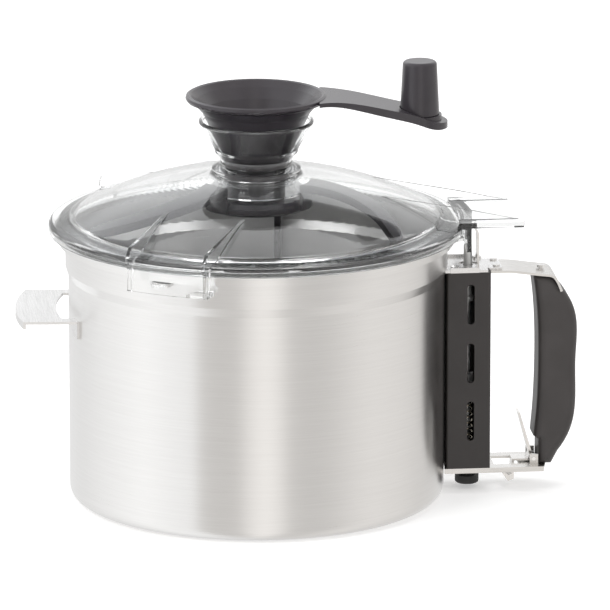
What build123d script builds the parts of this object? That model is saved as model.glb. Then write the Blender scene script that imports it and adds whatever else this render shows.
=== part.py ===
"""Bowl assembly of a tabletop cutter-mixer, in millimetres.

+Z is up and the origin is where the bowl's axis meets the plane it stands on.
The handle is on +X. Azimuths are in degrees about the bowl's axis, from +X towards +Y.
"""
from build123d import *
from math import atan2, cos, degrees, radians, sin, sqrt
import os

# ---------------------------------------------------------------- driving dimensions
# bowl
body_r = 125.0              # outside radius of the bowl's wall
sheet = 1.2                 # sheet thickness of the bowl
base_corner_r = 8.0
bowl_top_z = 181.5          # height of the rim
shoulder_z = bowl_top_z - 29.5      # where the wall starts to flare
shoulder_h = 6.0
shoulder_step = 2.0         # how far the upper band stands out
bead_r = body_r + 6.5       # outside radius of the rolled rim
bead_h = 7.0
bead_low_z = bowl_top_z - bead_h
tube_r = 19.0               # centre tube
tube_wall = 2.0
tube_h = 104.0

# bayonet
lug_count = 3
lug_step = 360.0 / lug_count
ear_r = 6.6                 # radius of a half-moon ear on the rim
ear_thick = 2.0
ear_z = bead_low_z - 0.6    # top face of the ears
ear_offset = -3.5           # an ear lies this far clockwise of its lug
lock_angle = 12.0           # turn that takes the ledges under the ears

# lid
lid_thick = 3.0
rim_r = bead_r + 6.5
rim_low_z = bowl_top_z + 0.3
rim_under_z = bowl_top_z + 3.5      # flat that sits on the seal
rim_top_z = rim_under_z + 5.4
dome_foot_r = body_r - 1.5
dome_rise = 31.1            # dome's crown above the lid's rim
dome_top_z = rim_top_z + dome_rise
lug_r = rim_r + 4.8         # outside radius of the three lugs
lug_half = 28.5             # half the width of a lug, between its two webs
lug_wall = 2.8
lug_low_z = ear_z - 5.5
web_thick = 2.6
web_tip_x = dome_foot_r - 43.5      # inner tip of a web, along the lug's own radius
web_tip_z = rim_top_z + 17.6
web_top_x = rim_r
web_top_z = rim_top_z + 6.8
tab_r = rim_r + 40.0        # outer edge of the hand tab over the handle
tab_half = 37.5
tab_thick = 3.7
tab_top_z = rim_top_z
bore_r = 21.8               # chimney bore that carries the funnel's stem
chimney_out = bore_r + 4.6  # outside of the tube under the dome
skirt_out = bore_r + 11.8
skirt_low = dome_top_z - 15.0

# crank
stem_gap = 0.3
stem_r = bore_r - stem_gap
tail_r = stem_r - 2.8
funnel_r = 46.8
funnel_top_z = dome_top_z + 51.5
stem_low_z = dome_top_z - 25.0
crank_azimuth = -6.0
knob_x = 108.0              # knob's axis, from the bowl's axis
knob_low_r = 13.0
knob_top_r = 11.2
knob_h = 35.5
knob_seat_z = funnel_top_z - 13.5
knob_pin_r = 3.5

# handle and interlock
column_x = body_r + 0.6     # inner face of the column
column_depth = 29.2
column_half = 19.0
column_low_z = 17.0
column_top_z = shoulder_z
column_wall = 2.4
rod_x = column_x + 15.9     # axis of the interlock rod
rod_r = 2.9
rod_thin_r = 1.9
rod_top_z = column_top_z + 16.0
rod_travel = 3.0
bracket_thick = 1.6
grip_half = 14.0
grip_drawn_h = 135.0        # height at which the grip's outline is drawn
grip_round = 5.0
column_out = column_x + column_depth
screw_places = [(column_x + 5.6, 5.6 - column_half), (column_out - 5.6, column_half - 5.6)]
guide_h = 6.0
guard_x = column_x + 21.6   # inner face of the strip beside the rod
guard_thick = 1.2
thin_top_z = column_top_z - 23.4    # where the rod steps down to its thin part
spring_top_z = column_low_z + 46.6
strap_thick = 1.6
strap_half = 16.0
tongue_end = column_out + 8.2       # end of the top bracket's tongue
rivet_x = column_out + 4.7
rivet_y = 8.0
rivet_r = 1.5
bracket_top = column_low_z
bracket_flange = 3.4
bracket_low = bracket_top - bracket_flange
grip_reach = 30.4           # from the column's outer face to the lever's pivot
lever_pivot_x = column_out + grip_reach
lever_half = 8.0
grip_screw_x = lever_pivot_x + 5.3
bracket_end = lever_pivot_x + 8.8
lever_pivot_z = column_low_z + 3.6

# rear bracket
rear_azimuth = 175.0
rear_out_r = body_r + 35.5
rear_half = 43.5
rear_top_z = shoulder_z - 23.0
rear_thick = 1.8

# scraper and blades
arm_azimuth = -40.0
arm_count = 3
wall_gap = 3.2              # wiper lip to bowl wall
blade_reach = body_r - 21.0
hub_gap = 0.3
sleeve_in = tube_r + hub_gap
sleeve_out = sleeve_in + 4.2
blade_thick = 2.4
blade_low_z = 9.0
blade_high_z = 58.0
drive_r = 8.0               # bore of the drive socket

os.makedirs("parts", exist_ok=True)
nodes = {}


def keep(name, shape):
    """Write one node, as one solid or a group of separate solids."""
    nodes[name] = shape
    export_step(shape, f"parts/{name}.step")


def group(*shapes):
    return Compound(children=[solid for shape in shapes for solid in shape.solids()])


def turned(points):
    """Revolve a closed outline of (radius, height) points about the bowl's axis."""
    return revolve(make_face(Plane.XZ * Polyline(*points, close=True)), Axis.Z)


def upright(points, half, mid=0.0):
    """Extrude a closed (x, z) outline along Y, to half its width each side of mid."""
    face = make_face(Plane.XZ * Polyline(*points, close=True))
    return Pos(0, mid, 0) * extrude(face, half, both=True)


def bar(x0, x1, y0, y1, z0, z1):
    return Pos((x0 + x1) / 2, (y0 + y1) / 2, (z0 + z1) / 2) * Box(x1 - x0, y1 - y0, z1 - z0)


def rod(radius, low, high, x=0.0, y=0.0):
    return Pos(x, y, (low + high) / 2) * Cylinder(radius, high - low)


def ring(outer, inner, low, high):
    return rod(outer, low, high) - rod(inner, low - 1, high + 1)


def around(angle, shape):
    return Rot(0, 0, angle) * shape


def arc_points(centre, radius, start, end, steps):
    """Points along an arc, from start to end degrees."""
    angles = [radians(start + (end - start) * i / steps) for i in range(steps + 1)]
    return [(centre[0] + radius * cos(a), centre[1] + radius * sin(a)) for a in angles]


# ---------------------------------------------------------------- bowl
def make_bowl():
    band_r = body_r + shoulder_step
    band_z = shoulder_z + shoulder_h
    inner = body_r - sheet
    outer_corner = arc_points((body_r - base_corner_r, base_corner_r), base_corner_r, -90, 0, 8)
    inner_corner = arc_points((body_r - base_corner_r, base_corner_r), base_corner_r - sheet, 0, -90, 8)
    base = [(tube_r - tube_wall, 0)] + outer_corner + inner_corner + [(tube_r - tube_wall, sheet)]
    keep("bowl_base", turned(base))
    keep("bowl_wall", turned([(body_r, base_corner_r), (body_r, shoulder_z), (inner, shoulder_z), (inner, base_corner_r)]))
    curl_gap = bead_r - sheet
    keep("bowl_band", turned([
        (body_r, shoulder_z), (band_r, band_z), (band_r, bowl_top_z - sheet),
        (curl_gap, bowl_top_z - sheet), (curl_gap, bead_low_z), (bead_r, bead_low_z),
        (bead_r, bowl_top_z - 1.0), (bead_r - 1.0, bowl_top_z),
        (band_r - sheet, bowl_top_z), (band_r - sheet, band_z), (inner, shoulder_z),
    ]))
    keep("center_tube", ring(tube_r, tube_r - tube_wall, sheet, tube_h))

    ears = []
    for i in range(lug_count):
        disc = rod(ear_r, ear_z - ear_thick, ear_z, x=bead_r)
        tab = disc + bar(body_r, bead_r, -ear_r, ear_r, ear_z - ear_thick, ear_z)
        tab -= rod(body_r + shoulder_step, 0, 400)
        ears.append(around(i * lug_step + ear_offset, tab))
    keep("rim_ears", group(*ears))


def make_rear_bracket():
    """Plate with a curved outer edge and a long notch, on two flanges that lie on the wall."""
    low = rear_top_z - rear_thick
    flange_angle = degrees(atan2(rear_half, sqrt(body_r ** 2 - rear_half ** 2)))
    plate = rod(rear_out_r, low, rear_top_z) & bar(0, 400, -rear_half, rear_half, 0, 400)
    plate -= rod(body_r, 0, 400)
    notch_half = rear_half - 9.5
    plate -= rod(body_r + 8.5, 0, 400) & bar(0, 400, -notch_half, notch_half, 0, 400)
    flange = ring(body_r + rear_thick, body_r, low - 10, rear_top_z)
    for side in (-1, 1):
        wedge = around(side * (flange_angle - 2.5), bar(0, 400, -5.5, 5.5, low - 10, rear_top_z))
        plate += flange & wedge
    lip = ring(rear_out_r, rear_out_r - rear_thick, low - 3.0, low) & bar(0, 400, -rear_half, rear_half, 0, 400)
    keep("rear_bracket", around(rear_azimuth, plate + lip))


# ---------------------------------------------------------------- lid
def dome_height(r, drop=0.0):
    """Height of the dome's outer surface at a radius, or of a surface lying drop below it."""
    rise = dome_top_z - rim_top_z - 1.6
    big_r = (dome_foot_r ** 2 + rise ** 2) / (2 * rise)
    return dome_top_z - big_r + sqrt((big_r - drop) ** 2 - r ** 2)


def dome_line(r_from, r_to, drop=0.0, steps=14):
    radii = [r_from + (r_to - r_from) * i / steps for i in range(steps + 1)]
    return [(r, dome_height(r, drop)) for r in radii]


def lid_shell():
    under_r = bead_r + 4.2
    outline = [(under_r, rim_low_z), (rim_r, rim_low_z), (rim_r, rim_top_z - 4.6)]
    outline += [(rim_r - 0.8, rim_top_z - 3.0), (rim_r - 2.4, rim_top_z - 2.0)]
    outline += [(dome_foot_r + 2.5, rim_top_z), (dome_foot_r + 0.6, rim_top_z + 0.6)]
    outline += dome_line(dome_foot_r - 0.4, bore_r + 8.4)
    outline += [
        (bore_r + 7.7, dome_top_z + 0.6), (bore_r + 7.7, dome_top_z + 2.0), (bore_r + 2.4, dome_top_z + 4.4),
        (bore_r + 2.0, dome_top_z + 6.5), (bore_r + 2.2, dome_top_z + 8.6), (bore_r + 5.8, dome_top_z + 12.6),
        (bore_r + 6.2, dome_top_z + 15.0), (bore_r + 15.0, dome_top_z + 31.4), (bore_r + 16.2, dome_top_z + 32.0),
        (bore_r + 16.2, dome_top_z + 34.0), (bore_r + 14.0, dome_top_z + 34.0), (bore_r + 13.2, dome_top_z + 32.4),
        (bore_r + 4.0, dome_top_z + 15.4), (bore_r, dome_top_z + 9.0), (bore_r, dome_top_z - 8.0),
        (skirt_out - 2.4, dome_top_z - 15.0), (skirt_out, dome_top_z - 15.0), (chimney_out, dome_top_z - 8.6),
    ]
    outline += dome_line(chimney_out, dome_foot_r - 3.0, lid_thick)
    outline += [(dome_foot_r - 2.6, rim_under_z), (under_r, rim_under_z)]
    return turned(outline)


def lid_core():
    """The space under the middle of the lid's wall, which the webs stop at."""
    skirt_mid = (bead_r + 4.2 + rim_r) / 2
    flat_mid = rim_under_z + lid_thick / 2
    inner = [(0, 0), (skirt_mid, 0), (skirt_mid, flat_mid), (dome_foot_r - 1.2, flat_mid)]
    inner += dome_line(dome_foot_r - 1.7, 0.5, lid_thick / 2) + [(0, dome_height(0, lid_thick / 2))]
    return turned(inner)


def lug_webs(with_tab):
    """The two upright webs of a lug on +X, from the dome down to the lug's lower edge."""
    out = lug_r + 0.6
    top = [(web_top_x + 3.0, web_top_z - 3.4)]
    if with_tab:
        top = [(tab_r - 6.5, tab_top_z - 0.5)]
    web = [(web_tip_x, web_tip_z), (web_top_x, web_top_z)] + top + [
        (out, rim_top_z - 1.5), (out, lug_low_z), (rim_r - 1, lug_low_z), (rim_r - 4, rim_low_z),
        (dome_foot_r - 12, rim_under_z - 3), (web_tip_x, web_tip_z - 6),
    ]
    mid = lug_half - web_thick / 2
    webs = upright(web, web_thick / 2, mid) + upright(web, web_thick / 2, -mid)
    return webs - ring(tab_r + 40, out, lug_low_z - 5, tab_top_z - tab_thick)


def lug_wall_piece():
    """The curved wall that hangs outside the rim, with the shelf that joins it to the rim."""
    box = bar(dome_foot_r - 20, tab_r, -lug_half, lug_half, 0, 400)
    wall = ring(lug_r, lug_r - lug_wall, lug_low_z, rim_top_z - 4.0)
    return (wall + ring(lug_r, rim_r - 2, rim_low_z + 1.5, rim_top_z - 4.0)) & box


def lug_ledge():
    """The ledge inside a lug that turns in under an ear, with a sloping lead-in."""
    top, low = ear_z - ear_thick - 0.4, lug_low_z
    outline = [(13.5, low), (lug_half, low), (lug_half, top), (18.0, top), (13.5, low + 1.4)]
    ledge = extrude(make_face(Plane.YZ * Polyline(*outline, close=True)), tab_r)
    return ledge & ring(lug_r - lug_wall / 2, ear_inner_r(), low - 1, top + 1)


def hand_tab():
    return rod(tab_r, tab_top_z - tab_thick, tab_top_z) & bar(rim_r - 6, 400, -tab_half, tab_half, 0, 400)


def ear_inner_r():
    return bead_r + 1.2


def interlock_cam():
    """Arc rib under the tab with a sloping foot, which presses the rod down as the lid turns."""
    low, high = rod_top_z + 0.3, tab_top_z - tab_thick
    half_r = rod_r - 0.5
    start, end = -1.5, lock_angle + 1.5
    drop = rod_travel + 2.0
    rib = ring(rod_x + half_r, rod_x - half_r, low - drop, high)
    rib &= around(start, bar(0, 400, 0, 90, 0, 400)) & around(end, bar(0, 400, -90, 0, 0, 400))
    middle = radians(lock_angle / 2)
    run = 2 * rod_x * sin(middle)
    slope = degrees(atan2(rod_travel, run))
    foot = Pos(rod_x, 0, low - rod_travel / 2) * Rot(-slope, 0, 0) * Pos(0, 0, -10) * Box(40, 90, 20)
    foot = around(lock_angle / 2, foot)
    return rib - foot


def make_lid():
    core, shell = lid_core(), lid_shell()
    keep("lid", shell)
    webs, walls, ledges = [], [], []
    for i in range(lug_count):
        angle = i * lug_step
        web = around(angle, lug_webs(i == 0)) - core - shell
        wall = around(angle, lug_wall_piece()) - shell - web
        webs.append(web)
        walls.append(wall)
        ledges.append(around(angle, lug_ledge()) - wall - web)
    tab = hand_tab() - shell - webs[0] - walls[0]
    keep("lid_webs", group(*webs))
    keep("lid_lugs", group(*walls))
    keep("lug_ledges", group(*ledges))
    keep("lid_tab", tab)
    keep("lid_cam", interlock_cam() - tab - webs[0] - walls[0] - ledges[0] - shell)
    low_r, high_r = body_r + shoulder_step - sheet, bead_r - 1.5
    seal = turned([
        (low_r + 0.2, bowl_top_z), (high_r, bowl_top_z), (high_r, rim_under_z), (low_r - 1.6, rim_under_z),
        (low_r - 1.6, bowl_top_z - 3.0), (low_r - 0.5, bowl_top_z - 3.0), (low_r - 0.5, bowl_top_z),
    ])
    keep("lid_seal", seal)


# ---------------------------------------------------------------- crank, scraper
def make_crank():
    top = funnel_top_z
    body = turned([
        (tail_r, stem_low_z), (tail_r, dome_top_z - 6.5), (stem_r, dome_top_z - 4.5), (stem_r, dome_top_z - 1.0),
        (stem_r - 1.8, dome_top_z - 1.0), (stem_r - 1.8, dome_top_z + 2.0), (stem_r, dome_top_z + 2.0),
        (stem_r, dome_top_z + 8.5), (stem_r + 1.7, dome_top_z + 12.0), (stem_r + 7.3, dome_top_z + 24.8),
        (funnel_r - 10.9, top - 11.8), (funnel_r - 5.8, top - 6.2), (funnel_r - 1.0, top - 4.2),
        (funnel_r, top - 2.6), (funnel_r - 0.5, top - 0.8), (funnel_r - 2.0, top), (funnel_r - 3.4, top - 0.6),
        (funnel_r - 7.2, top - 4.4), (funnel_r - 12.8, top - 11.2), (stem_r + 4.3, dome_top_z + 24.4),
        (stem_r - 1.4, dome_top_z + 11.6), (tail_r - 2.4, dome_top_z + 4.0), (tail_r - 2.4, stem_low_z),
    ])
    start = funnel_r - 5.0
    centre = [(start, top - 1.2), (start + 12, top - 1.4), (70, top - 3.6), (88, top - 7.4), (knob_x, knob_seat_z + 1.2),
              (knob_x + 10, knob_seat_z - 2.6), (knob_x + 19, knob_seat_z - 4.6)]
    upper = Spline(*[(x, 0, z) for x, z in centre])
    arm_thick = [2.8, 3.2, 4.6, 5.4, 5.6, 5.2, 4.0]
    under = Spline(*[(x, 0, z - thick) for (x, z), thick in zip(centre, arm_thick)])
    ends = [Line(upper @ 0, under @ 0), Line(upper @ 1, under @ 1)]
    side = extrude(make_face([upper, under] + ends), 60, both=True)
    reach = knob_x + 18.5
    plan = Spline((30, 34), (44, 24.5), (60, 20.0), (84, 17.4), (knob_x, 16.6))
    tip = ThreePointArc((knob_x, 16.6), (reach, 0), (knob_x, -16.6))
    back = Spline((knob_x, -16.6), (84, -17.4), (60, -20.0), (44, -24.5), (30, -34))
    outline = make_face([plan, tip, back, Line((30, -34), (30, 34))])
    arm = extrude(Pos(0, 0, 200) * outline, 120) & side
    arm -= turned([(0, 200), (funnel_r - 2.4, 200), (funnel_r - 2.4, top + 9), (0, top + 9)])
    seat = rod(knob_low_r + 1.6, knob_seat_z - 12, knob_seat_z, x=knob_x)
    end = under @ 1
    sky = [Line(end, (end.X, 0, top)), Line((end.X, 0, top), (start, 0, top)), Line((start, 0, top), under @ 0)]
    arm += seat & extrude(make_face([under] + sky), 60, both=True)
    arm -= Pos(knob_x, 0, knob_seat_z + 9) * Cylinder(knob_low_r + 0.4, 18)
    arm -= rod(knob_pin_r, knob_seat_z - 3.0, knob_seat_z + 1, x=knob_x)
    keep("crank_funnel", body + around(crank_azimuth, arm))

    keep("stem_ring", ring(stem_r + 0.15, stem_r - 1.8, dome_top_z - 0.9, dome_top_z + 1.9))
    pin = rod(knob_pin_r, knob_seat_z - 3.0, knob_seat_z + knob_h - 12, x=knob_x)
    pin += rod(knob_pin_r + 2.2, knob_seat_z + knob_h - 12, knob_seat_z + knob_h - 9.5, x=knob_x)
    keep("knob_pin", around(crank_azimuth, pin))
    knob_low = knob_seat_z + 0.3
    knob = Solid.make_cone(knob_low_r, knob_top_r, knob_h).moved(Location((knob_x, 0, knob_low)))
    knob = fillet(knob.edges().sort_by(Axis.Z)[-1], 2.4)
    knob -= rod(knob_pin_r + 0.08, knob_low - 1, knob_seat_z + knob_h - 12, x=knob_x)
    knob -= rod(knob_pin_r + 2.5, knob_seat_z + knob_h - 12.3, knob_seat_z + knob_h - 9.2, x=knob_x)
    keep("crank_knob", around(crank_azimuth, knob))


def make_scraper():
    hub_low, hub_high = stem_low_z - 0.5, stem_low_z + 7.0
    hub = turned([
        (tail_r - 2.4, hub_low - 1.6), (34.0, hub_low), (36.0, hub_low + 1.6), (36.0, hub_high - 2.6),
        (33.0, hub_high), (tail_r, hub_high), (tail_r, stem_low_z), (tail_r - 2.4, stem_low_z),
    ])
    keep("scraper_hub", hub)
    inner = body_r - sheet
    plan = [(28, 18), (44, 25), (62, 27), (80, 24), (96, 17), (108, 8), (inner - 6, -3),
            (inner - 7.5, -9), (106, -4), (92, 5), (76, 10), (58, 10), (42, 4), (30, -8)]
    outline = make_face([Spline(*plan[:7]), Line(plan[6], plan[7]), Spline(*plan[7:]), Line(plan[-1], plan[0])])
    band = dome_line(20, dome_foot_r - 5.0, lid_thick + 2.0) + dome_line(dome_foot_r - 5.0, 20, lid_thick + 7.0)
    arm = extrude(outline, 400) & turned(band)
    arm -= rod(36.0, 0, 250)
    arm += (ring(37.0, 33.0, hub_low + 1.0, dome_height(36, lid_thick + 2.4)) & extrude(outline, 400))
    arm -= turned([(0, 0), (36.02, 0), (36.02, hub_high - 2.4), (33.2, hub_high + 0.02), (0, hub_high + 0.02)])
    arm -= rod(35.4, skirt_low - 2.0, 250)
    wall_low = bowl_top_z - 115.5
    post = bar(inner - 13.0, inner - 5.5, -8.0, -3.6, wall_low, dome_height(inner - 5.5, lid_thick + 2.4))
    arms = [around(arm_azimuth + i * 360 / arm_count, arm + post) for i in range(arm_count)]
    keep("scraper_arms", group(*arms))
    lip = bar(inner - 5.5, inner - wall_gap, -7.0, -4.6, wall_low, bowl_top_z - 6.0)
    keep("wiper_lips", group(*[around(arm_azimuth + i * 360 / arm_count, lip) for i in range(arm_count)]))


# ---------------------------------------------------------------- blades


def blade_pair(z):
    """Two curved blades on a ring, swept back, with the cutting edge on the outer curve's inside."""
    clamp = ring(sleeve_out + 7.0, sleeve_out, z, z + blade_thick)
    tip = (blade_reach * cos(radians(-52)), blade_reach * sin(radians(-52)))
    front = Spline((24, 18), (60, 20), (88, -14), tip)
    rear = Spline(tip, (70, -36), (52, -10), (24, -14))
    face = make_face([front, rear, Line((24, -14), (24, 18))])
    wing = Pos(0, 0, z) * extrude(face, blade_thick) - rod(sleeve_out, 0, 200)
    return clamp + wing + around(180, wing)


def make_blades():
    top = tube_h + 16.0
    hub = ring(sleeve_out, sleeve_in, sheet + 1.0, tube_h + 2.0) + ring(sleeve_out + 7.0, sleeve_in, sheet + 1.0, blade_low_z)
    hub += rod(sleeve_out, tube_h + 2.0, top) - rod(drive_r, tube_h + 1.0, tube_h + 12.0)
    keep("blade_hub", hub)
    keep("lower_blades", blade_pair(blade_low_z))
    keep("blade_spacer", ring(sleeve_out + 5.0, sleeve_out, blade_low_z + blade_thick, blade_high_z))
    keep("upper_blades", around(90, blade_pair(blade_high_z)))
    cap_low = blade_high_z + blade_thick
    keep("blade_sleeve", ring(sleeve_out + 5.0, sleeve_out, cap_low, top))
    cap = turned([(0, top), (sleeve_out + 5.0, top), (sleeve_out + 5.0, top + 6), (sleeve_out - 4, top + 16), (0, top + 18)])
    keep("blade_cap", cap)


# ---------------------------------------------------------------- handle and interlock


def slot_hole(x, mid_z, wide, tall):
    """Round-ended upright slot, cut through along Y."""
    end = (tall - wide) / 2
    hole = bar(x - wide / 2, x + wide / 2, -60, 60, mid_z - end, mid_z + end)
    for side in (-1, 1):
        hole += Pos(x, 0, mid_z + side * end) * Rot(90, 0, 0) * Cylinder(wide / 2, 120)
    return hole


def make_column():
    column = bar(column_x, column_out, -column_half, column_half, column_low_z, column_top_z)
    column = fillet(column.edges().filter_by(Axis.Z), 1.2)
    column -= bar(column_x + column_wall, column_out - column_wall, -column_half + column_wall,
                  column_half - column_wall, column_low_z + 4.0, column_top_z - 4.0)
    column -= rod(rod_r + 2.4, 0, 200, x=rod_x)
    for middle in (130.0, 89.6, 49.7):
        column -= slot_hole(rod_x, middle, 4.8, 27.2)
    for x, y in screw_places:
        column -= rod(1.5, column_low_z - 1, column_low_z + 9, x, y) + rod(1.5, column_top_z - 9, column_top_z + 1, x, y)
        for low in (column_low_z + 3.0, column_top_z - 9.0):
            post = rod(3.2, low, low + 6.0, x, y) - rod(1.5, low - 1, low + 7, x, y)
            column += post & bar(column_x + 1, column_out - 1, -column_half + 1, column_half - 1, 0, 200)
    keep("interlock_column", column)
    guides = []
    for low in (column_low_z, column_top_z - guide_h):
        inner_r = rod_thin_r if low == column_low_z else rod_r
        sleeve = rod(rod_r + 2.4, low, low + guide_h, x=rod_x) - rod(inner_r + 0.08, low - 1, low + guide_h + 1, x=rod_x)
        guides.append(sleeve)
    keep("rod_guides", group(*guides))


def make_rod():
    button_top = bracket_low - 0.6
    shank = rod(rod_r, thin_top_z + 3.2, rod_top_z - 1.2, x=rod_x)
    shank += Pos(rod_x, 0, rod_top_z - 1.2) * Cone(rod_r, rod_r - 1.2, 1.2, align=(Align.CENTER, Align.CENTER, Align.MIN))
    shank += rod(rod_thin_r, 5.0, thin_top_z + 3.2, x=rod_x)
    keep("interlock_rod", shank)
    collar = rod(rod_r + 1.2, thin_top_z, thin_top_z + 3.2, x=rod_x) - rod(rod_thin_r, 0, 200, x=rod_x)
    stop = rod(rod_r + 1.4, spring_top_z, spring_top_z + 15.0, x=rod_x) - rod(rod_thin_r, 0, 200, x=rod_x)
    keep("rod_collar", group(collar, stop))
    foot = rod(8.0, 2.6, 8.2, x=rod_x)
    foot = fillet(foot.edges().sort_by(Axis.Z)[0], 1.6)
    foot += rod(5.0, 8.0, button_top, x=rod_x)
    foot -= rod(rod_thin_r, 5.0, 60, x=rod_x)
    keep("rod_button", foot)
    turns = 11
    low, high = column_low_z + guide_h + 0.9, spring_top_z - 0.9
    path = Pos(rod_x, 0, low) * Helix((high - low) / turns, high - low, rod_r + 0.6)
    wire = Plane(origin=path @ 0, z_dir=path % 0) * Circle(0.55)
    keep("return_spring", sweep(wire, path=path, is_frenet=True))


def make_brackets():
    flare = shoulder_step * bracket_thick / shoulder_h
    wall = rod(body_r + flare, 0, 300)
    top = bar(body_r - 15, column_out - 2.0, -column_half, column_half, column_top_z, column_top_z + bracket_thick) - wall
    top -= rod(6.3, 0, 300, x=rod_x) & bar(0, rod_x + 6.3, -50, 50, 0, 300)
    collar = (rod(6.3, column_top_z, column_top_z + 0.8, x=rod_x) - rod(rod_r + 0.5, 0, 300, x=rod_x))
    top += bar(column_out - 3.0, tongue_end, -13.0, 13.0, column_top_z, column_top_z + bracket_thick)
    for x, y in screw_places:
        top -= rod(1.6, 100, 200, x, y)
    for y in (-rivet_y, rivet_y):
        top -= rod(rivet_r, 100, 200, rivet_x, y)
    lip_y = column_half
    for side in (-1, 1):
        edge = bar(column_x + 2, column_out - 8, side * lip_y - 0.8, side * lip_y + 0.8, column_top_z - 0.0, column_top_z + 3.4)
        top += edge
    keep("top_bracket", top + collar)

    low, high = column_top_z + bracket_thick, rod_top_z + 10.0
    guard = upright([
        (guard_x, low), (guard_x + guard_thick, low), (guard_x + guard_thick, high - 2.6), (guard_x + 0.4, high - 1.0),
        (guard_x - 1.2, high), (guard_x - 1.2, high - 1.2), (guard_x - 0.1, high - 1.8), (guard_x, high - 2.8),
    ], 5.0)
    keep("post_guard", guard)

    outer_face, inner_face = strap_points(0), strap_points(strap_thick)
    strap = upright(outer_face + inner_face[::-1], strap_half)
    rivets = []
    for y in (-rivet_y, rivet_y):
        strap -= rod(rivet_r, 100, 200, rivet_x, y)
        low_face, high_face = column_top_z - strap_thick, column_top_z + bracket_thick
        rivets.append(rod(rivet_r, low_face, high_face, rivet_x, y) + rod(2.4, high_face, high_face + 0.9, rivet_x, y)
                      + rod(2.4, low_face - 0.8, low_face, rivet_x, y))
    strap -= rod(1.6, 100, 200, grip_screw_x, 0)
    keep("handle_strap", strap)
    keep("strap_rivets", group(*rivets))
    head_z = strap_points(0)[-8][1] + 1.6
    screw_top = rod(1.45, column_top_z - 16.0, head_z, grip_screw_x, 0) + rod(2.9, head_z, head_z + 1.4, grip_screw_x, 0)
    screw_low = rod(1.45, bracket_top - bracket_thick, bracket_top + 10, grip_screw_x, 0)
    screw_low += rod(2.9, bracket_top - bracket_thick - 1.8, bracket_top - bracket_thick, grip_screw_x, 0)
    keep("grip_screws", group(screw_top, screw_low))

    low = bracket_low
    channel = bar(body_r - 15, bracket_end, -column_half, column_half, bracket_top - bracket_thick, bracket_top)
    for side in (-1, 1):
        channel += bar(body_r - 1, bracket_end, min(side * column_half, side * (column_half - 1.6)),
                       max(side * column_half, side * (column_half - 1.6)), low, bracket_top)
    channel -= wall
    channel -= rod(rod_r + 2.4, 0, 50, x=rod_x)
    channel -= bar(lever_pivot_x - 26.7, lever_pivot_x - 9.7, -lever_half - 2, lever_half + 2, 0, 40)
    corner = bar(bracket_end - 8, bracket_end + 1, -30, 30, 0, 40) - bar(0, bracket_end - 6, -30, 30, 0, 40)
    channel -= corner - rod(60, 0, 50, x=bracket_end - 60) 
    for x, y in screw_places + [(grip_screw_x, 0)]:
        channel -= rod(1.6, 0, 40, x, y)
    keep("bottom_bracket", channel)

    screws = []
    for x, y in screw_places:
        screws.append(rod(1.45, column_low_z - bracket_thick - 0.2, column_low_z + 8, x, y)
                      + rod(2.9, column_low_z - bracket_thick - 2.0, column_low_z - bracket_thick, x, y))
        screws.append(rod(1.45, column_top_z - 8, column_top_z + bracket_thick, x, y)
                      + rod(2.9, column_top_z + bracket_thick, column_top_z + bracket_thick + 1.6, x, y))
    keep("column_screws", group(*screws))


def strap_points(drop):
    """Points along the strap's outer face, or along a line that lies drop under it."""
    px, top = lever_pivot_x, column_top_z
    flat = Line((column_out + 0.3, 0, top), (tongue_end + 2.0, 0, top))
    crown = Spline(flat @ 1, (px - 9.2, 0, top - 1.0), (px + 0.8, 0, top - 2.4), (px + 9.3, 0, top - 3.4),
                   tangents=[(1, 0, 0), (1, 0, -0.11)])
    bend = Spline(crown @ 1, (px + 13.4, 0, top - 5.4), (px + 16.0, 0, top - 9.6), (px + 18.2, 0, top - 15.0),
                  tangents=[(1, 0, -0.11), (0.4, 0, -1)])
    line = Wire([flat, crown, bend])
    steps = 24
    pairs = [(line @ (i / steps), line % (i / steps)) for i in range(steps + 1)]
    return [(p.X + drop * t.Z, p.Z - drop * t.X) for p, t in pairs]


def make_grip():
    px, top, low = lever_pivot_x, column_top_z, column_low_z
    tall = top - low

    def side(*points):
        """Points across from the lever's pivot and up from the foot, stretched to the grip's height."""
        return [(px + x, 0, low + z * (top - low) / grip_drawn_h) for x, z in points]

    inner = Spline(*side((-1.2, 130.6), (2.0, 101.0), (2.6, 69.0), (1.4, 35.0), (0.0, 19.0)))
    foot = Polyline(*side((0.0, 19.0), (3.4, 16.5), (3.4, 0.0), (11.8, 0.0), (16.4, 8.7)))
    outer = Spline(*side((16.4, 8.7), (25.6, 26.0), (28.0, 71.0), (27.2, 105.0), (19.6, 119.6)))
    shoulder = Spline(*side((19.6, 119.6), (16.0, 124.0), (12.2, 128.0), (8.8, 129.4)))
    outline = [*inner.edges(), *foot.edges(), *outer.edges(), *shoulder.edges(), Line(shoulder @ 1, inner @ 0)]
    grip = extrude(make_face(outline), grip_half, both=True)
    sides = grip.edges().filter_by(lambda e: abs(abs(e.center().Y) - grip_half) < 0.01)
    grip = fillet(sides, grip_round)
    above = [(px + 60, top - 15), (px + 60, top + 48), (px - 40, top + 48)]
    grip -= upright(strap_points(strap_thick + 0.05) + above, 60)
    screw_hole = 1.5
    grip -= rod(screw_hole, top - 18, top + 8, grip_screw_x, 0) + rod(screw_hole, 0, bracket_top + 12, grip_screw_x, 0)
    keep("handle_grip", grip)


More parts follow.
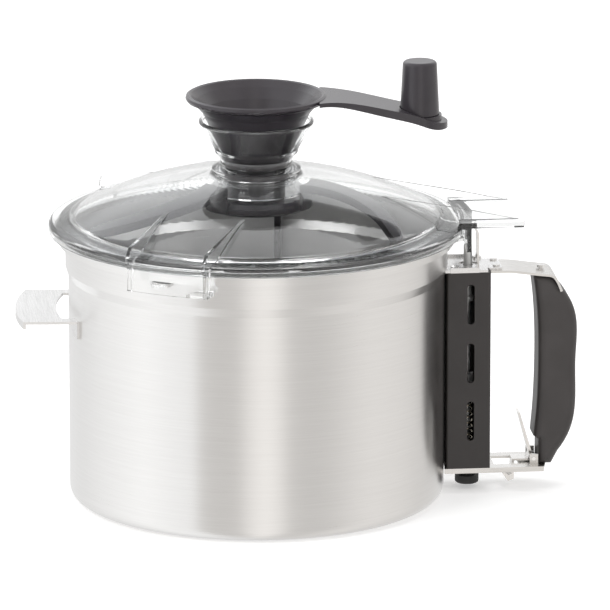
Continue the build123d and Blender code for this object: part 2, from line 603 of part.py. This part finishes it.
def make_lever():
    px, pz = lever_pivot_x, lever_pivot_z
    strip = upright([
        (px - 2.2, pz + 1.2), (px - 10.0, pz + 30.4), (px - 8.8, pz + 30.8), (px - 0.4, pz + 2.6),
        (px + 2.2, pz + 0.2), (px + 1.2, pz - 2.4), (px - 1.0, pz - 2.8), (px - 12.4, pz - 2.6),
        (px - 12.6, pz - 15.2), (px - 16.6, pz - 17.0), (px - 20.4, pz - 11.2), (px - 18.2, pz - 11.0),
        (px - 16.0, pz - 12.6), (px - 14.0, pz - 11.6), (px - 14.0, pz - 1.4), (px - 3.2, pz - 1.4),
    ], lever_half - 2)
    strip -= Pos(px, 0, pz) * Rot(90, 0, 0) * Cylinder(1.25, 60)
    keep("latch_lever", strip)
    pin = Pos(px, 0, pz) * Rot(90, 0, 0) * Cylinder(1.2, 2 * (lever_half + 4.2))
    keep("lever_pin", pin)
    coil = Helix(0.78, 2.0, 1.72)
    wire = Plane(origin=coil @ 0, z_dir=coil % 0) * Circle(0.36)
    spring = Pos(px, lever_half - 1.4, pz) * Rot(-90, 0, 0) * sweep(wire, path=coil, is_frenet=True)
    keep("lever_spring", spring)
    ears = upright([(px - 2.6, column_low_z), (px + 3.0, column_low_z), (px + 3.0, pz + 3), (px - 2.6, pz + 3)], 1.2)
    ears -= Pos(px, 0, pz) * Rot(90, 0, 0) * Cylinder(1.2, 60)
    keep("lever_ears", group(Pos(0, lever_half + 2.6, 0) * ears, Pos(0, -lever_half - 2.6, 0) * ears))


make_bowl()
make_rear_bracket()
make_lid()
make_crank()
make_scraper()
make_blades()
make_column()
make_rod()
make_brackets()
make_grip()
make_lever()
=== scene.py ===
"""Looks of a cutter-mixer bowl assembly: steel bowl, clear bayonet lid, crank funnel, handle and interlock."""
from math import cos, hypot, pi, radians, sin, sqrt

import bmesh
import bpy
from mathutils import Matrix, Vector


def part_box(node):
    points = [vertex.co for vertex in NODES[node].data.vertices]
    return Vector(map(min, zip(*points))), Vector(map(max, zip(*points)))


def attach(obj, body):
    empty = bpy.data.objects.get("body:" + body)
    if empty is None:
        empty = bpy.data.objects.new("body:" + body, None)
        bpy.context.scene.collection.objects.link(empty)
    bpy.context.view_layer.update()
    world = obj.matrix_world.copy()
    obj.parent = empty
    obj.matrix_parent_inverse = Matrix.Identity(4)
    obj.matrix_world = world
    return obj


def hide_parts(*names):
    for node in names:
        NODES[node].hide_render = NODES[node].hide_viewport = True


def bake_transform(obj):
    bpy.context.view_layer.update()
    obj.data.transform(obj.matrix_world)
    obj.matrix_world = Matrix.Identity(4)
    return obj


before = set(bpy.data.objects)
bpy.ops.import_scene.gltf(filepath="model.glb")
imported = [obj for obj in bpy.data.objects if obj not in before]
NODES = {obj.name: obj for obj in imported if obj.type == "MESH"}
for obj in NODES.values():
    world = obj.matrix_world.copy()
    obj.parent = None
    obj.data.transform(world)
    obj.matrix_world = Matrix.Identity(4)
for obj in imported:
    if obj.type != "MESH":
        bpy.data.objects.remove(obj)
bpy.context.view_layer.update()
MM = 0.001


# ---------------------------------------------------------------- shader helpers
class Value:
    """A number socket that builds Math nodes when it is used in an expression."""

    def __init__(self, tree, socket):
        self.tree = tree
        self.socket = socket

    def math(self, operation, *others):
        node = self.tree.nodes.new("ShaderNodeMath")
        node.operation = operation
        for slot, item in zip(node.inputs, (self,) + others):
            if isinstance(item, Value):
                self.tree.links.new(item.socket, slot)
            else:
                slot.default_value = item
        return Value(self.tree, node.outputs[0])

    def flipped(self, operation, other):
        node = self.tree.nodes.new("ShaderNodeMath")
        node.operation = operation
        node.inputs[0].default_value = other
        self.tree.links.new(self.socket, node.inputs[1])
        return Value(self.tree, node.outputs[0])

    def __add__(self, other):
        return self.math("ADD", other)

    def __radd__(self, other):
        return self.math("ADD", other)

    def __sub__(self, other):
        return self.math("SUBTRACT", other)

    def __rsub__(self, other):
        return self.flipped("SUBTRACT", other)

    def __mul__(self, other):
        return self.math("MULTIPLY", other)

    def __rmul__(self, other):
        return self.math("MULTIPLY", other)

    def step(self, low, high):
        """Smooth step from 0 at low to 1 at high."""
        node = self.tree.nodes.new("ShaderNodeMapRange")
        node.interpolation_type = "SMOOTHSTEP"
        node.inputs["From Min"].default_value = low
        node.inputs["From Max"].default_value = high
        self.tree.links.new(self.socket, node.inputs["Value"])
        return Value(self.tree, node.outputs["Result"])


def mix_colors(tree, factor, first, second):
    """Blend two colours, each given as numbers or as a socket, by a Value; returns the result's socket."""
    node = tree.nodes.new("ShaderNodeMix")
    node.data_type = "RGBA"
    tree.links.new(factor.socket, node.inputs[0])
    for slot, color in ((node.inputs[6], first), (node.inputs[7], second)):
        if isinstance(color, bpy.types.NodeSocket):
            tree.links.new(color, slot)
        else:
            slot.default_value = (*color, 1.0)
    return node.outputs[2]


def light_paths(tree):
    """Values that are 1 for camera rays, for rays that passed through glass, and for mirrored rays."""
    outputs = tree.nodes.new("ShaderNodeLightPath").outputs
    return [Value(tree, outputs[name]) for name in ("Is Camera Ray", "Is Transmission Ray", "Is Glossy Ray")]


class Paint:
    """One material with a Principled shader, and short calls for the nodes that feed it."""

    def __init__(self, name, color, rough, metal=0.0, **fixed):
        self.material = bpy.data.materials.new(name)
        self.material.use_nodes = True
        self.tree = self.material.node_tree
        self.shader = self.tree.nodes["Principled BSDF"]
        self.set("Base Color", (*color, 1.0))
        self.set("Roughness", rough)
        self.set("Metallic", metal)
        for key, value in fixed.items():
            self.set(key.replace("_", " "), value)

    def set(self, socket, value):
        self.shader.inputs[socket].default_value = value

    def node(self, kind, settings=None, **sockets):
        node = self.tree.nodes.new(kind)
        for key, value in (settings or {}).items():
            setattr(node, key, value)
        for key, value in sockets.items():
            self.plug(node.inputs[key.replace("_", " ")], value)
        return node

    def plug(self, slot, value):
        if isinstance(value, Value):
            self.tree.links.new(value.socket, slot)
        elif isinstance(value, bpy.types.NodeSocket):
            self.tree.links.new(value, slot)
        else:
            slot.default_value = value

    def value(self, socket):
        return Value(self.tree, socket)

    def place(self):
        """The point in the object's own frame, in metres, as a vector and its three parts."""
        vector = self.node("ShaderNodeTexCoord").outputs["Object"]
        split = self.node("ShaderNodeSeparateXYZ", Vector=vector)
        return vector, [self.value(out) for out in split.outputs]

    def noise(self, vector, scale, detail=2.0, rough=0.5):
        return self.value(self.node("ShaderNodeTexNoise", Vector=vector, Scale=scale, Detail=detail,
                                    Roughness=rough).outputs["Fac"])

    def blend(self, factor, first, second):
        return mix_colors(self.tree, factor, first, second)

    def feed(self, socket, value):
        self.plug(self.shader.inputs[socket], value)

    def bump(self, grain, strength, distance):
        node = self.node("ShaderNodeBump", Height=grain, Strength=strength, Distance=distance)
        self.feed("Normal", node.outputs["Normal"])


# ---------------------------------------------------------------- materials
def brushed_round():
    """Steel brushed round the bowl's axis: long fine strokes that follow the wall."""
    paint = Paint("steel_brushed_round", (0.78, 0.775, 0.765), 0.30, 1.0,
                  Anisotropic=0.8, Anisotropic_Rotation=0.25)
    vector, (x, y, z) = paint.place()
    turn = y.math("ARCTAN2", x)
    span = paint.node("ShaderNodeCombineXYZ", X=turn * 0.35, Y=z * 1.0, Z=(x * x + y * y).math("SQRT"))
    coarse = paint.node("ShaderNodeMapping", Vector=span.outputs[0])
    coarse.inputs["Scale"].default_value = (6.0, 900.0, 900.0)
    fine = paint.node("ShaderNodeMapping", Vector=span.outputs[0])
    fine.inputs["Scale"].default_value = (22.0, 3200.0, 3200.0)
    strokes = paint.noise(coarse.outputs[0], 1.0, 3.0, 0.6)
    hair = paint.noise(fine.outputs[0], 1.0, 2.0, 0.7)
    cloud = paint.noise(vector, 14.0, 3.0)
    grain = strokes * 0.55 + hair * 0.45
    paint.feed("Base Color", paint.blend(grain.step(0.30, 0.72), (0.76, 0.753, 0.743), (0.805, 0.80, 0.79)))
    paint.feed("Roughness", grain * 0.10 + cloud * 0.05 + 0.22)
    paint.bump(grain, 0.06, 0.0002)
    return paint.material


def satin_steel(name, along, tone=(0.80, 0.785, 0.765), rough=0.26):
    """Sheet steel with a fine grain along one axis and faint handling marks."""
    paint = Paint(name, tone, rough, 1.0, Anisotropic=0.3)
    vector, _ = paint.place()
    stretch = {"X": (40.0, 1400.0, 1400.0), "Y": (1400.0, 40.0, 1400.0), "Z": (1400.0, 1400.0, 40.0)}[along]
    mapped = paint.node("ShaderNodeMapping", Vector=vector)
    mapped.inputs["Scale"].default_value = stretch
    grain = paint.noise(mapped.outputs[0], 1.0, 3.0, 0.6)
    cloud = paint.noise(vector, 60.0, 3.0)
    dark = tuple(part * 0.90 for part in tone)
    paint.feed("Base Color", paint.blend(grain.step(0.3, 0.7), dark, tone))
    paint.feed("Roughness", grain * 0.10 + cloud * 0.10 + (rough - 0.10))
    paint.bump(grain, 0.06, 0.0001)
    return paint.material


def polished_steel(name, tone=(0.82, 0.81, 0.80), rough=0.12):
    """Ground and polished steel with faint cloudiness."""
    paint = Paint(name, tone, rough, 1.0)
    vector, _ = paint.place()
    cloud = paint.noise(vector, 120.0, 4.0)
    paint.feed("Roughness", cloud * 0.12 + (rough - 0.04))
    return paint.material


def moulded(name, low, high, rough, grain_scale, strength, coat=0.0):
    """Moulded plastic: fine spark texture, slight mottling and a little gloss change."""
    paint = Paint(name, high, rough, 0.0, Coat_Weight=coat, Coat_Roughness=0.25)
    vector, _ = paint.place()
    grain = paint.noise(vector, grain_scale, 3.0, 0.6)
    cloud = paint.noise(vector, 35.0, 3.0)
    paint.feed("Base Color", paint.blend(cloud.step(0.25, 0.75), low, high))
    paint.feed("Roughness", grain * 0.10 + cloud * 0.08 + (rough - 0.09))
    paint.bump(grain, strength, 0.0001)
    return paint.material


def clear_plastic(name, tint, rough, alpha):
    """Clear moulded plastic that bends light at its rims and ribs, with a faint haze."""
    paint = Paint(name, tint, rough, 0.0, IOR=1.5, Transmission_Weight=1.0)
    vector, _ = paint.place()
    cloud = paint.noise(vector, 25.0, 3.0)
    paint.feed("Roughness", cloud * 0.012 + rough)
    paint.feed("Alpha", cloud * 0.02 + (alpha - 0.01))
    return paint.material


def wire(name, tone):
    """Drawn wire with darker patches."""
    paint = Paint(name, tone, 0.28, 1.0)
    vector, _ = paint.place()
    cloud = paint.noise(vector, 300.0, 3.0)
    paint.feed("Base Color", paint.blend(cloud.step(0.3, 0.7), tuple(part * 0.75 for part in tone), tone))
    return paint.material


ROUND_STEEL = brushed_round()
STRAP_STEEL = satin_steel("steel_satin_along", "X", (0.74, 0.725, 0.705))
PLATE_STEEL = satin_steel("steel_satin_across", "Y", (0.80, 0.795, 0.79))
UPRIGHT_STEEL = satin_steel("steel_satin_upright", "Z")
BRIGHT = polished_steel("steel_polished")
BLADE_STEEL = polished_steel("steel_ground", (0.80, 0.80, 0.80), 0.18)
GRIP_PLASTIC = moulded("plastic_grip", (0.042, 0.037, 0.036), (0.056, 0.050, 0.049), 0.42, 900.0, 0.10)
COLUMN_PLASTIC = moulded("plastic_column", (0.036, 0.032, 0.031), (0.044, 0.039, 0.038), 0.55, 1100.0, 0.10)
CRANK_PLASTIC = moulded("plastic_crank", (0.022, 0.018, 0.023), (0.032, 0.027, 0.034), 0.30, 1200.0, 0.05, 0.3)
PALE_PLASTIC = moulded("plastic_pale", (0.55, 0.55, 0.53), (0.62, 0.62, 0.60), 0.4, 900.0, 0.05)
RUBBER = moulded("rubber_black", (0.012, 0.012, 0.012), (0.022, 0.021, 0.021), 0.6, 700.0, 0.12)
CLEAR = clear_plastic("plastic_clear", (0.985, 0.99, 0.99), 0.0, 0.985)
CLEAR_SEAL = clear_plastic("rubber_clear", (0.90, 0.92, 0.92), 0.25, 0.7)
COIL_WIRE = wire("wire_coil", (0.66, 0.60, 0.48))
ROD_STEEL = satin_steel("steel_rod", "Z", (0.80, 0.80, 0.79), 0.34)
ROD_STEEL.node_tree.nodes["Principled BSDF"].inputs["Metallic"].default_value = 0.45
SPRING_STEEL = wire("wire_steel", (0.62, 0.61, 0.60))

FINISHES = {
    "bowl_base": ROUND_STEEL, "bowl_wall": ROUND_STEEL, "bowl_band": ROUND_STEEL, "center_tube": ROUND_STEEL,
    "rim_ears": PLATE_STEEL, "rear_bracket": PLATE_STEEL,
    "top_bracket": PLATE_STEEL, "post_guard": UPRIGHT_STEEL, "handle_strap": STRAP_STEEL, "strap_rivets": BRIGHT,
    "bottom_bracket": STRAP_STEEL, "column_screws": BRIGHT, "grip_screws": BRIGHT, "lever_pin": BRIGHT,
    "lever_ears": STRAP_STEEL, "lever_spring": SPRING_STEEL, "latch_lever": UPRIGHT_STEEL,
    "handle_grip": GRIP_PLASTIC, "interlock_column": COLUMN_PLASTIC, "rod_guides": PALE_PLASTIC,
    "interlock_rod": ROD_STEEL, "rod_collar": ROD_STEEL, "rod_button": RUBBER, "return_spring": COIL_WIRE,
    "lid_seal": CLEAR_SEAL, "lid": CLEAR, "lid_webs": CLEAR, "lid_lugs": CLEAR, "lug_ledges": CLEAR,
    "lid_tab": CLEAR, "lid_cam": CLEAR, "crank_funnel": CRANK_PLASTIC, "stem_ring": RUBBER, "knob_pin": BRIGHT,
    "crank_knob": CRANK_PLASTIC, "scraper_hub": CRANK_PLASTIC, "scraper_arms": CRANK_PLASTIC,
    "wiper_lips": CLEAR_SEAL, "blade_hub": GRIP_PLASTIC, "lower_blades": BLADE_STEEL, "blade_spacer": GRIP_PLASTIC,
    "upper_blades": BLADE_STEEL, "blade_sleeve": GRIP_PLASTIC, "blade_cap": GRIP_PLASTIC,
}
for node, material in FINISHES.items():
    for slot in NODES[node].material_slots:
        slot.material = material


# ---------------------------------------------------------------- pieces made of rings
def skin(name, rings, material, replaced, ends_meet):
    """Piece whose rings of points are joined one to the next, as a closed loop or with both ends capped."""
    mesh = bmesh.new()
    loops = [[mesh.verts.new(point) for point in ring] for ring in rings]
    for ring, following in zip(loops, loops[1:] + loops[:1] if ends_meet else loops[1:]):
        for i in range(len(ring)):
            j = (i + 1) % len(ring)
            mesh.faces.new((ring[i], ring[j], following[j], following[i]))
    if not ends_meet:
        mesh.faces.new(loops[0][::-1])
        mesh.faces.new(loops[-1])
    bmesh.ops.recalc_face_normals(mesh, faces=mesh.faces)
    data = bpy.data.meshes.new(name)
    mesh.to_mesh(data)
    mesh.free()
    data.materials.append(material)
    data.shade_smooth()
    piece = bpy.data.objects.new(name, data)
    bpy.context.collection.objects.link(piece)
    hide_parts(replaced)
    return piece


def lathe(name, outline, material, body, replaced, steps=240):
    """Turn a closed outline of (radius, height) points, in millimetres, about the bowl's axis."""
    rings = []
    for step in range(steps):
        angle = 2 * pi * step / steps
        rings.append([(r * MM * cos(angle), r * MM * sin(angle), z * MM) for r, z in outline])
    piece = skin(name, rings, material, replaced, True)
    piece.data.set_sharp_from_angle(angle=radians(38))
    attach(piece, body)


def softened(points, size):
    """Round every corner of a closed outline by a small arc, at most size long on each side."""
    result = []
    count = len(points)
    for i, (x, z) in enumerate(points):
        ends = []
        for x1, z1 in (points[i - 1], points[(i + 1) % count]):
            length = hypot(x1 - x, z1 - z)
            share = min(size, length * 0.4) / length
            ends.append((x + (x1 - x) * share, z + (z1 - z) * share))
        (ax, az), (bx, bz) = ends
        for t in (0.0, 0.33, 0.67, 1.0):
            a, b, c = (1 - t) ** 2, 2 * t * (1 - t), t ** 2
            result.append((a * ax + b * x + c * bx, a * az + b * z + c * bz))
    return result


# the clear lid, in millimetres
LID_TOP = 221.5             # crown of the dome
LID_THICK = 3.0
RIM_R, RIM_TOP = 138.0, 190.4
RIM_LOW = 181.8             # lower edge of the rim
RIM_INNER_R = 135.7         # inner face of the rim's skirt
RIM_UNDER = 185.0           # underside of the rim inside the skirt
FOOT_R = 123.5              # where the dome meets the rim
FOOT_DROP = 1.6             # the dome's foot stands this far above the rim's top
BORE_R = 21.8
CORNER = 0.5
# chimney's section from the dome up over the mouth and down inside, from the bore's wall and the dome's crown
CHIMNEY = [(7.7, 0.6), (7.7, 2.0), (2.4, 4.4), (2.0, 6.5), (2.2, 8.6), (5.8, 12.6), (6.2, 15.0), (15.0, 31.4),
           (16.2, 32.0), (16.2, 34.0), (14.0, 34.0), (13.2, 32.4), (4.0, 15.4), (0.0, 9.0), (0.0, -8.0),
           (9.4, -15.0), (11.8, -15.0), (4.6, -8.6)]


def dome_height(r, drop=0.0):
    """Height of the dome at radius r, on the sphere that drops by so much inside the outer face."""
    rise = LID_TOP - RIM_TOP - FOOT_DROP
    sphere_r = (FOOT_R ** 2 + rise ** 2) / (2 * rise)
    return LID_TOP - sphere_r + sqrt((sphere_r - drop) ** 2 - r ** 2)


def dome_line(start, end, drop=0.0, steps=28):
    radii = [start + (end - start) * i / steps for i in range(steps + 1)]
    return [(r, dome_height(r, drop)) for r in radii]


def make_clear_lid():
    rim = [(RIM_INNER_R, RIM_LOW), (RIM_R, RIM_LOW), (RIM_R, RIM_TOP - 4.6), (RIM_R - 0.8, RIM_TOP - 3.0),
           (RIM_R - 2.4, RIM_TOP - 2.0), (FOOT_R + 2.5, RIM_TOP), (FOOT_R + 0.6, RIM_TOP + 0.6)]
    outer = dome_line(FOOT_R - 0.4, BORE_R + 8.4)
    chimney = [(BORE_R + r, LID_TOP + z) for r, z in CHIMNEY]
    inner = dome_line(BORE_R + 4.6, FOOT_R - 3.0, LID_THICK)
    under = [(FOOT_R - 2.6, RIM_UNDER), (RIM_INNER_R, RIM_UNDER)]
    outline = softened(rim + outer + chimney + inner + under, CORNER)
    lathe("clear_lid", outline, CLEAR, "lid", "lid")


# the rod's return spring, in millimetres
WIRE_R = 0.55
WIRE_SIDES = 10
COIL_TURNS = 11
FLAT_PITCH = 1.3            # rise of the one flat turn at each end


def coil_points(x, low, high, radius, turns, steps=28):
    """Centre line of a coil spring about an upright axis, with its end turns laid flat."""
    points = []
    for i in range(turns * steps + 1):
        turn = i / steps
        rise = min(max((turn - 1.0) / (turns - 2.0), 0.0), 1.0)
        lay = FLAT_PITCH * (min(turn, 1.0) - 1.0 + max(turn - turns + 1.0, 0.0))
        angle = 2 * pi * turn
        points.append(Vector((x + radius * cos(angle), radius * sin(angle), low + (high - low) * rise + lay)))
    return points


def make_return_spring():
    """Coil round the thin part of the rod, from its foot on the guide up to its head."""
    low_corner, high_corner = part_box("return_spring")
    x = (low_corner[0] + high_corner[0]) / 2 / MM
    foot, head = low_corner[2] / MM + WIRE_R, high_corner[2] / MM - WIRE_R
    reach = (high_corner[1] - low_corner[1]) / 2 / MM - WIRE_R
    path = coil_points(x, foot + FLAT_PITCH, head - FLAT_PITCH, reach, COIL_TURNS)
    section = [(cos(2 * pi * k / WIRE_SIDES), sin(2 * pi * k / WIRE_SIDES)) for k in range(WIRE_SIDES)]
    rings = []
    for i, point in enumerate(path):
        along = (path[min(i + 1, len(path) - 1)] - path[max(i - 1, 0)]).normalized()
        out = Vector((point.x - x, point.y, 0.0)).normalized()
        up = along.cross(out).normalized()
        rings.append([(point + (out * a + up * b) * WIRE_R) * MM for a, b in section])
    piece = skin("return_coil", rings, COIL_WIRE, "return_spring", False)
    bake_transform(piece)


make_clear_lid()
make_return_spring()


# ---------------------------------------------------------------- studio
VIEW_TURN = -6.0            # the view stands this far round from facing the column's side
VIEW_RISE = 14.444
VIEW_DISTANCE = 5.0
VIEW_TARGET = (0.032214, 0.0, 0.128778)
VIEW_LENS = 443.5
LAMP_AIM = (0.0, 0.0, 0.14)


def in_view_frame(point):
    return Matrix.Rotation(radians(VIEW_TURN), 3, "Z") @ Vector(point)


def make_camera():
    data = bpy.data.cameras.new("camera")
    data.lens = VIEW_LENS
    data.sensor_width = 36.0
    data.clip_end = 50.0
    camera = bpy.data.objects.new("camera", data)
    bpy.context.collection.objects.link(camera)
    target = in_view_frame(VIEW_TARGET)
    back = in_view_frame((0, -cos(radians(VIEW_RISE)), sin(radians(VIEW_RISE))))
    camera.location = target + back * VIEW_DISTANCE
    camera.rotation_euler = back.to_track_quat("Z", "Y").to_euler()
    bpy.context.scene.camera = camera


def add_area(name, place, size, power):
    """Soft lamp aimed at the middle of the object; the place is in the view's frame."""
    data = bpy.data.lights.new(name, "AREA")
    data.shape = "RECTANGLE"
    data.size, data.size_y = size
    data.energy = power
    lamp = bpy.data.objects.new(name, data)
    lamp.visible_glossy = False
    bpy.context.collection.objects.link(lamp)
    lamp.location = in_view_frame(place)
    aim = in_view_frame(LAMP_AIM) - lamp.location
    lamp.rotation_euler = aim.to_track_quat("-Z", "Y").to_euler()


# bands that metal mirrors, as (turn from the view in degrees, brightness): left is negative
STUDIO_BANDS = [
    (-180, 0.90), (-133, 0.94), (-113, 1.04), (-98, 1.11), (-85, 1.17), (-73, 1.23), (-62, 1.17), (-51, 1.11),
    (-38, 1.10), (-35, 0.76), (-22, 0.73), (-11, 0.74), (-5, 0.98), (6, 1.17), (15, 1.02), (21, 0.76),
    (34, 0.72), (45, 0.75), (65, 0.90), (76, 0.95), (102, 0.89), (118, 0.80), (180, 0.90)]
WARM_FROM, WARM_TO = -36, 150           # the bands between these turns are a little warmer
DIFFUSE_LEVEL = (0.55, 0.55, 0.55)      # what matt surfaces are lit by
CARD_LEVEL = (1.9, 1.93, 1.96)          # card raised behind, on the left, that metal mirrors
CEILING_LEVEL = (0.34, 0.35, 0.37)      # what glass shows overhead
WHITE = (1.0, 1.0, 1.0)
FLOOR_SIZE, FLOOR_Z = 6.0, -0.0006
FLOOR_TONE = (0.85, 0.85, 0.85)
FLOOR_GLOW = 0.35                       # lifts the floor to white where it is seen


def band_ramp(tree, turn):
    """Colour of the studio round the view, from a turn that runs from 0 at -180 degrees to 1 at 180."""
    ramp = tree.nodes.new("ShaderNodeValToRGB")
    stops = ramp.color_ramp.elements
    while len(stops) < len(STUDIO_BANDS):
        stops.new(0.5)
    for stop, (angle, level) in zip(stops, STUDIO_BANDS):
        stop.position = 0.5 + angle / 360
        warm = 0.95 if WARM_FROM < angle < WARM_TO else 1.0
        stop.color = (level, level * (0.5 + warm / 2), level * warm, 1)
    tree.links.new(turn.socket, ramp.inputs["Fac"])
    return ramp.outputs["Color"]


def make_world():
    """White to the eye, white with a darker ceiling in glass, banded in metal, and plain grey as light."""
    world = bpy.data.worlds.new("studio")
    bpy.context.scene.world = world
    world.use_nodes = True
    tree = world.node_tree
    split = tree.nodes.new("ShaderNodeSeparateXYZ")
    tree.links.new(tree.nodes.new("ShaderNodeTexCoord").outputs["Generated"], split.inputs[0])
    x, y, z = [Value(tree, out) for out in split.outputs]
    front = radians(VIEW_TURN - 90)
    along = x * cos(front) + y * sin(front)
    aside = y * cos(front) - x * sin(front)
    bands = band_ramp(tree, aside.math("ARCTAN2", along) * (0.5 / pi) + 0.5)
    behind = (0.0 - along).step(0.1, 0.8)
    leftward = 0.4 + 0.6 * (0.0 - aside).step(-0.4, 0.5)
    card = behind * z.step(0.27, 0.42) * (1.0 - z.step(0.65, 0.85)) * leftward
    camera, through, glossy = light_paths(tree)
    mirrored = mix_colors(tree, card, bands, CARD_LEVEL)
    lit = mix_colors(tree, glossy, DIFFUSE_LEVEL, mirrored)
    in_glass = mix_colors(tree, through * z.step(0.30, 0.75), WHITE, CEILING_LEVEL)
    shown = mix_colors(tree, camera.math("MAXIMUM", through), lit, in_glass)
    tree.links.new(shown, tree.nodes["Background"].inputs["Color"])


def make_floor():
    """Pale floor that shows white to the eye and in glass, and keeps the object's shadow."""
    bpy.ops.mesh.primitive_plane_add(size=FLOOR_SIZE, location=(0, 0, FLOOR_Z))
    floor = bpy.context.object
    floor.name = "floor"
    paint = Paint("floor_pale", FLOOR_TONE, 0.9)
    camera, through, _ = light_paths(paint.tree)
    glow = paint.node("ShaderNodeEmission", Strength=camera.math("MAXIMUM", through) * FLOOR_GLOW)
    both = paint.node("ShaderNodeAddShader")
    paint.plug(both.inputs[0], paint.shader.outputs[0])
    paint.plug(both.inputs[1], glow.outputs[0])
    paint.plug(paint.tree.nodes["Material Output"].inputs["Surface"], both.outputs[0])
    floor.data.materials.append(paint.material)
    floor.visible_glossy = False


make_camera()
make_world()
make_floor()
add_area("key", (-1.6, -1.4, 1.9), (1.6, 1.6), 26.0)
add_area("fill", (1.9, -1.5, 1.2), (1.2, 1.6), 10.0)
add_area("top", (0.0, 0.4, 2.4), (2.2, 2.2), 34.0)
bpy.context.scene.view_settings.view_transform = "Standard"
